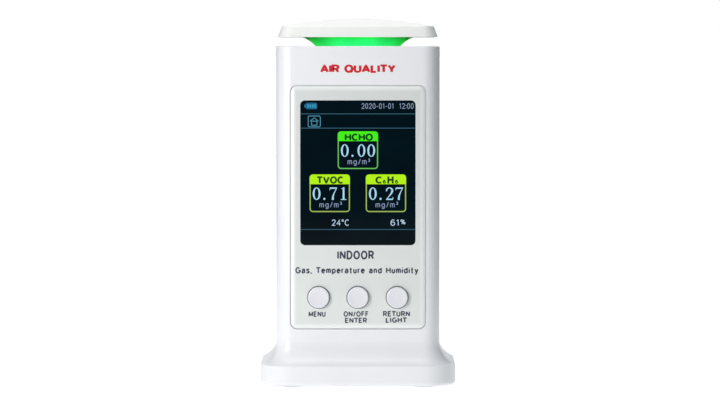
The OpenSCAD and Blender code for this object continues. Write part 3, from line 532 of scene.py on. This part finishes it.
def text(name, words, x, z, width, height, y, material, pen=0.15, thickness=PRINT_T, space=0.16):
    """Words centred on (x, z) at the given size, raised from the surface at y.

    The pen's width and the space between letters are in units of a capital's height. Where strokes
    of a letter cross, each later one is a little thicker, so that no two faces share a plane."""
    start, outlines = 0.0, []
    for letter in words:
        advance, lines = GLYPHS[letter]
        for order, line in enumerate(lines):
            closed = math.dist(line[0], line[-1]) < 0.001
            placed = [(start + a, b) for a, b in (line[:-1] if closed else line)]
            outlines.append((*pen_edges(placed, pen, closed), closed, thickness * (1 + 0.15 * order)))
        start += advance + pen + space
    ends = [p for right, left, closed, raised in outlines for p in right + left]
    low_x, high_x = min(p[0] for p in ends), max(p[0] for p in ends)
    low_z, high_z = min(p[1] for p in ends), max(p[1] for p in ends)

    def put(points):
        return [(x + ((a - low_x) / (high_x - low_x) - 0.5) * width,
                 z + ((b - low_z) / (high_z - low_z) - 0.5) * height) for a, b in points]
    parts = []
    for right, left, closed, raised in outlines:
        if closed:
            parts.append(frame_slab(put(right), put(left), y, raised))
        else:
            parts.append(slab(put(right) + put(left)[::-1], y, raised))
    return add_mesh(name, *joined(parts), material)


def ride_housing(obj):
    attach(obj, "housing")


# ---------- cap ----------

def cap_outline(a, b, r, steps=10):
    """Rounded rectangle of half sizes a and b, as (x, y) points."""
    return rounded_outline(0, 0, 2 * a, 2 * b, r, steps)


def build_cap():
    """Smooth cap: a leaning band, a softly rounded shoulder and a pillow top, hollow below for its plate."""
    rim_a = CAP_HIGH.x
    rim_b = CAP_HIGH.y
    lean = 1.55                          # how far the band leans in
    band = 4.3                           # height of the band
    recess = 1.3                         # width and depth of the rim round the plate
    shoulder = CAP_LOW.z + band
    dome = CAP_HIGH.z - shoulder
    top_a = rim_a - lean
    top_b = rim_b - lean
    rings = [
        (rim_a - recess, rim_b - recess, 4.3, CAP_LOW.z + recess),
        (rim_a - recess, rim_b - recess, 4.3, CAP_LOW.z + 0.06),
        (rim_a - recess + 0.06, rim_b - recess + 0.06, 4.3, CAP_LOW.z),
        (rim_a - 0.25, rim_b - 0.25, 5.3, CAP_LOW.z),
        (rim_a - 0.03, rim_b - 0.03, 5.4, CAP_LOW.z + 0.22),
        (rim_a - 0.12, rim_b - 0.12, 5.4, CAP_LOW.z + 0.6),
        (top_a + 0.18, top_b + 0.18, 5.1, shoulder - 0.55),
        (top_a, top_b, 5.0, shoulder - 0.08),
        (top_a - 0.35, top_b - 0.35, 4.8, shoulder + 0.08),
    ]
    for s in (0.96, 0.9, 0.8, 0.68, 0.55, 0.42, 0.3, 0.18, 0.08):
        radius = s * (5 + (top_b - 5) * (1 - s * s))
        rings.append((top_a * s, top_b * s, radius, shoulder + dome * (1 - s * s)))
    points = []
    for a, b, r, z in rings:
        points += [(x, y, z) for x, y in cap_outline(a, b, r)]
    n = len(cap_outline(1, 1, 0.5))
    faces = []
    for k in range(len(rings) - 1):
        for i in range(n):
            j = (i + 1) % n
            faces.append([k * n + i, k * n + j, (k + 1) * n + j, (k + 1) * n + i])
    centre_low = len(points)
    points += [(0, 0, CAP_LOW.z + recess), (0, 0, CAP_HIGH.z)]
    last = (len(rings) - 1) * n
    for i in range(n):
        j = (i + 1) % n
        faces.append([j, i, centre_low])
        faces.append([last + i, last + j, centre_low + 1])
    cap = add_mesh("cap_shell", points, faces, CAP_WHITE, smooth=True)
    rounding = cap.modifiers.new("rounding", "SUBSURF")
    rounding.levels = 2
    rounding.render_levels = 2
    ride_housing(cap)
    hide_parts("top_cap")


# ---------- printed words ----------

def print_labels():
    dark = ink("slate_ink", linear(52, 56, 76))
    red = ink("red_ink", linear(200, 18, 34))
    on_panel = [
        # name, words, x, z above the panel's middle, width, height, pen
        ("label_indoor", "INDOOR", -0.9, -18.2, 14.0, 3.45, 0.27),
        ("label_purpose", "Gas, Temperature and Humidity", -0.4, -24.3, 47.0, 3.0, 0.26),
        ("label_menu", "MENU", -15.6, -40.8, 6.5, 2.15, 0.28),
        ("label_power", "ON/OFF", -0.8, -40.75, 9.4, 2.15, 0.28),
        ("label_enter", "ENTER", -0.75, -43.2, 8.4, 2.1, 0.28),
        ("label_return", "RETURN", 14.75, -40.7, 10.3, 2.15, 0.28),
        ("label_light", "LIGHT", 14.6, -43.1, 8.0, 2.1, 0.28),
    ]
    for name, words, x, rise, width, height, pen in on_panel:
        ride_housing(text(name, words, x, PANEL_MID + rise, width, height, PANEL_FACE, dark, pen,
                          space=0.13))
    mark = text("label_air_quality", "AIR QUALITY", 0.0, TOWER_TOP - 8.6, 28.8, 3.25, TOWER_FRONT, red, 0.32,
                space=0.0)
    ride_housing(mark)


# ---------- the display's picture ----------

LINE_Y = SCREEN_FACE
PALE = lit("lit_pale_blue", linear(170, 222, 245))
BRIGHT = lit("lit_white_blue", linear(184, 208, 232))
GREY_BLUE = lit("lit_grey_blue", linear(142, 158, 192))
TEAL = lit("lit_teal", linear(52, 92, 112))
CYAN = lit("lit_cyan", linear(84, 158, 186))
GREEN = lit("lit_green", linear(72, 240, 24))
GREEN_EDGE = lit("lit_green_edge", linear(104, 196, 92))
LIME = lit("lit_lime", linear(182, 244, 22))
LIME_EDGE = lit("lit_lime_edge", linear(160, 188, 92))
DARK_GREEN = lit("dark_green_letters", linear(4, 66, 8))
DARK_OLIVE = lit("dark_olive_letters", linear(38, 66, 4))


def glyph_zero():
    """An upright oval, thick at its sides, as outer and inner outlines."""
    turns = [math.radians(360 * k / 32) for k in range(32)]
    outer = [(0.31 + 0.31 * math.cos(t), 0.5 + 0.5 * math.sin(t)) for t in turns]
    inner = [(0.31 + 0.165 * math.cos(t), 0.5 + 0.435 * math.sin(t)) for t in turns]
    return outer, inner


# Pen strokes of the seriffed digits, (across, up, width), in units of the digit's height
DIGIT_STROKES = {
    "1": [[(0.35, 1.0, 0.13), (0.35, 0.03, 0.15)], [(0.37, 0.97, 0.05), (0.18, 0.87, 0.05)],
          [(0.13, 0.03, 0.06), (0.58, 0.03, 0.06)]],
    "2": [[(0.07, 0.7, 0.1), (0.12, 0.88, 0.09), (0.3, 0.965, 0.07), (0.49, 0.88, 0.12), (0.53, 0.7, 0.15),
           (0.42, 0.47, 0.11), (0.22, 0.22, 0.06), (0.08, 0.06, 0.05)],
          [(0.05, 0.05, 0.1), (0.57, 0.05, 0.1)], [(0.56, 0.02, 0.05), (0.6, 0.22, 0.05)]],
    "7": [[(0.05, 0.94, 0.11), (0.6, 0.94, 0.11)], [(0.06, 0.98, 0.05), (0.03, 0.78, 0.05)],
          [(0.57, 0.92, 0.06), (0.42, 0.62, 0.07), (0.3, 0.32, 0.12), (0.27, 0.0, 0.16)]],
}


def digit(character, x, z, height, y):
    """Slabs of one digit whose lower left corner is (x, z)."""
    def put(points):
        return [(x + p[0] * height, z + p[1] * height) for p in points]
    if character == "0":
        outer, inner = glyph_zero()
        return [frame_slab(put(outer), put(inner), y, PICTURE_T)]
    if character == ".":
        turns = [math.radians(30 * k) for k in range(12)]
        dot = [(0.08 + 0.085 * math.cos(t), 0.085 + 0.085 * math.sin(t)) for t in turns]
        return [slab(put(dot), y, PICTURE_T)]
    parts = []
    for line in DIGIT_STROKES[character]:
        path = curve_points([(x + a * height, z + b * height, w * height) for a, b, w in line])
        parts.append(stroke(path, y, PICTURE_T))
    return parts


READING_H = 4.8                          # height of the large digits
READING_STARTS = [-6.5, -2.45, -0.15, 3.6]  # where each character begins, from the tile's middle


def reading(name, value, x, z):
    """A four-character reading such as 0.71, centred on x with its foot at z."""
    parts = []
    for start, character in zip(READING_STARTS, value):
        parts += digit(character, x + start, z, READING_H, LINE_Y)
    return add_mesh(name, *joined(parts), PALE)


def tile(name, x, top, title, value, fill, edge, letters):
    """One gas reading: a header with the gas's formula, the value and its unit, in a rounded frame."""
    w, h, header, r, line = 15.4, 14.4, 3.75, 1.3, 0.42
    z = top - h / 2
    outline = frame_slab(rounded_outline(x, z, w, h, r), rounded_outline(x, z, w - 2 * line, h - 2 * line,
                                                                         r - line), LINE_Y, PICTURE_T)
    pieces = [
        add_mesh(name + "_frame", *outline, edge),
        add_mesh(name + "_header", *slab(rounded_outline(x, top - header / 2, w, header, r,
                                                         corners=(1, 1, 0, 0)), LINE_Y, 1.5 * PICTURE_T),
                 fill),
        reading(name + "_value", value, x, top - 9.75),
        text(name + "_unit", "mg/m³", x + 0.35, top - 11.8, 8.6, 2.8, LINE_Y, GREY_BLUE, 0.12,
             PICTURE_T, 0.26),
    ]
    for part, (words, shift, drop, width, height) in enumerate(title):
        pieces.append(text(f"{name}_title_{part}", words, x + shift, top - drop, width, height,
                           LINE_Y - 1.5 * PICTURE_T, letters, 0.28, PICTURE_T, 0.04))
    return pieces


def battery_icon(x, z):
    """A full battery, its nub to the left."""
    w, h = 4.3, 2.4
    edge = frame_slab(rounded_outline(x, z, w, h, 0.6), rounded_outline(x, z, w - 0.6, h - 0.6, 0.35),
                      LINE_Y, PICTURE_T)
    nub = slab(rounded_outline(x - w / 2 - 0.3, z, 0.5, 1.3, 0.15), LINE_Y, PICTURE_T)
    bars = [slab(rounded_outline(x - 1.35 + 0.9 * k, z, 0.75, 1.5, 0.1), LINE_Y, PICTURE_T)
            for k in range(4)]
    return [add_mesh("battery_icon_outline", *joined([edge, nub]),
                     lit("lit_battery_edge", linear(40, 112, 150))),
            add_mesh("battery_icon_bars", *joined(bars), lit("lit_battery", linear(58, 146, 188)))]


def room_icon(x, z):
    """A small house in a rounded box: the indoor sign."""
    box = frame_slab(rounded_outline(x, z, 4.9, 4.4, 0.7), rounded_outline(x, z, 4.4, 3.9, 0.5),
                     LINE_Y, PICTURE_T)
    pen = 0.26
    roof = stroke([(x - 1.6, z + 0.1, pen), (x, z + 1.4, pen), (x + 1.6, z + 0.1, pen)], LINE_Y, PICTURE_T)
    walls = frame_slab(rounded_outline(x, z - 0.65, 2.3, 1.8, 0.1),
                       rounded_outline(x, z - 0.65, 1.8, 1.3, 0.05), LINE_Y, PICTURE_T)
    return [add_mesh("room_icon", *joined([box, roof, walls]), CYAN)]


def draw_display():
    """Everything that the display shows, laid on the window. Heights are from the window's middle."""
    middle = SCREEN_MID
    pieces = []
    for k, rise in enumerate((22.5, 17.05, -21.65)):
        bar = slab(rounded_outline(0, middle + rise, 2 * SCREEN_HALF_W - 0.3, 0.3, 0.05), LINE_Y, PICTURE_T)
        pieces.append(add_mesh(f"divider_{k}", *bar, TEAL))
    pieces += battery_icon(-17.7, middle + 25.5)
    pieces += room_icon(-16.65, middle + 19.6)
    pieces.append(text("clock", "2020-01-01  12:00", 11.3, middle + 25.5, 19.9, 2.2, LINE_Y,
                       lit("lit_clock", linear(150, 170, 200)), 0.12, PICTURE_T, 0.2))
    pieces += tile("hcho", 0.0, middle + 15.85, [("HCHO", 0.35, 2.25, 10.8, 2.8)], "0.00",
                   GREEN, GREEN_EDGE, DARK_GREEN)
    pieces += tile("tvoc", -10.75, middle - 0.6, [("TVOC", 0.15, 2.15, 9.9, 2.85)], "0.71",
                   LIME, LIME_EDGE, DARK_OLIVE)
    benzene = [("C", -2.8, 2.15, 2.5, 2.75), ("6", -0.6, 2.8, 1.2, 1.5), ("H", 1.75, 2.15, 2.4, 2.7),
               ("6", 4.05, 2.8, 1.2, 1.5)]
    pieces += tile("benzene", 10.7, middle - 0.6, benzene, "0.27", LIME, LIME_EDGE, DARK_OLIVE)
    for name, words, x, width, pen in (("temperature", "24°C", -6.75, 6.6, 0.15),
                                       ("humidity", "61%", 15.3, 5.7, 0.13)):
        pieces.append(text(name, words, x, middle - 19.0, width, 2.5, LINE_Y, BRIGHT, pen, PICTURE_T))
    for piece in pieces:
        ride_housing(piece)


# ---------- room, light and camera ----------

FLOOR_HALF = 60000                       # so far that its edge is out of sight
KEY_PLACE, KEY_AIM = (-0.21, -0.26, 0.13), (0, 0, 0.07)
KEY_SIZE, KEY_POWER = 0.035, 0.46        # small, so the buttons cast a crescent of shadow
TOP_PLACE, TOP_AIM = (-0.03, 0.0, 0.6), (0, 0, 0.1)
TOP_SIZE, TOP_POWER = 0.3, 1.0
CARDS = [
    # name, one end and the other on the floor, lower and upper edge, colour
    ("right_card", (185, -400), (155, 350), 20, 300, linear(72, 90, 97)),
    ("left_card", (-220, -170), (-150, 380), 25, 420, linear(20, 21, 25)),
    ("front_card", (-450, -900), (900, -900), 20, 1000, linear(22, 24, 26)),
]
CAMERA_SIDE = 0.0008                     # how far right of the middle the camera stands and looks
CAMERA_DISTANCE = 1.3                    # from the tower's front
CAMERA_HEIGHT = 0.130
AIM_HEIGHT = 0.0704
CAMERA_LENS = 170.5
SENSOR_WIDTH = 36
CLIP_NEAR, CLIP_FAR = 0.05, 50


def build_floor():
    corners = [(-FLOOR_HALF, -FLOOR_HALF, 0), (FLOOR_HALF, -FLOOR_HALF, 0),
               (FLOOR_HALF, FLOOR_HALF, 0), (-FLOOR_HALF, FLOOR_HALF, 0)]
    floor = add_mesh("floor", corners, [[0, 1, 2, 3]], floor_material())


def area_light(name, place, target, size, power):
    data = bpy.data.lights.new(name, "AREA")
    data.shape = "DISK"
    data.size = size
    data.energy = power
    lamp = bpy.data.objects.new(name, data)
    lamp.location = place
    lamp.rotation_euler = (Vector(target) - Vector(place)).to_track_quat("-Z", "Y").to_euler()
    lamp.visible_camera = False
    bpy.context.collection.objects.link(lamp)


def build_card(name, start, end, low, high, colour):
    """An upright card from one floor point to another, out of sight, which takes light off that side."""
    card = add_mesh(name, [(*start, low), (*end, low), (*end, high), (*start, high)], [[0, 1, 2, 3]],
                    moulded(name + "_grey", colour, roughness=0.9))
    card.visible_camera = False


def build_light():
    """A white room, a small lamp low at the front left, a soft one above, and three dark cards."""
    world = bpy.data.worlds.new("studio")
    bpy.context.scene.world = world
    world.use_nodes = True
    world.node_tree.nodes["Background"].inputs["Color"].default_value = (1, 1, 1, 1)
    world.node_tree.nodes["Background"].inputs["Strength"].default_value = 1.0
    area_light("key", KEY_PLACE, KEY_AIM, KEY_SIZE, KEY_POWER)
    area_light("top", TOP_PLACE, TOP_AIM, TOP_SIZE, TOP_POWER)
    for card in CARDS:
        build_card(*card)


def build_camera():
    data = bpy.data.cameras.new("camera")
    data.sensor_width = SENSOR_WIDTH
    data.lens = CAMERA_LENS
    data.clip_start = CLIP_NEAR
    data.clip_end = CLIP_FAR
    camera = bpy.data.objects.new("camera", data)
    camera.location = (CAMERA_SIDE, TOWER_FRONT * MM - CAMERA_DISTANCE, CAMERA_HEIGHT)
    aim = Vector((CAMERA_SIDE, TOWER_FRONT * MM, AIM_HEIGHT))
    camera.rotation_euler = (aim - camera.location).to_track_quat("-Z", "Y").to_euler()
    bpy.context.collection.objects.link(camera)
    bpy.context.scene.camera = camera


build_camera()
build_light()
build_floor()
build_cap()
print_labels()
draw_display()
bpy.context.scene.view_settings.view_transform = "Standard"

bpy.context.view_layer.update()
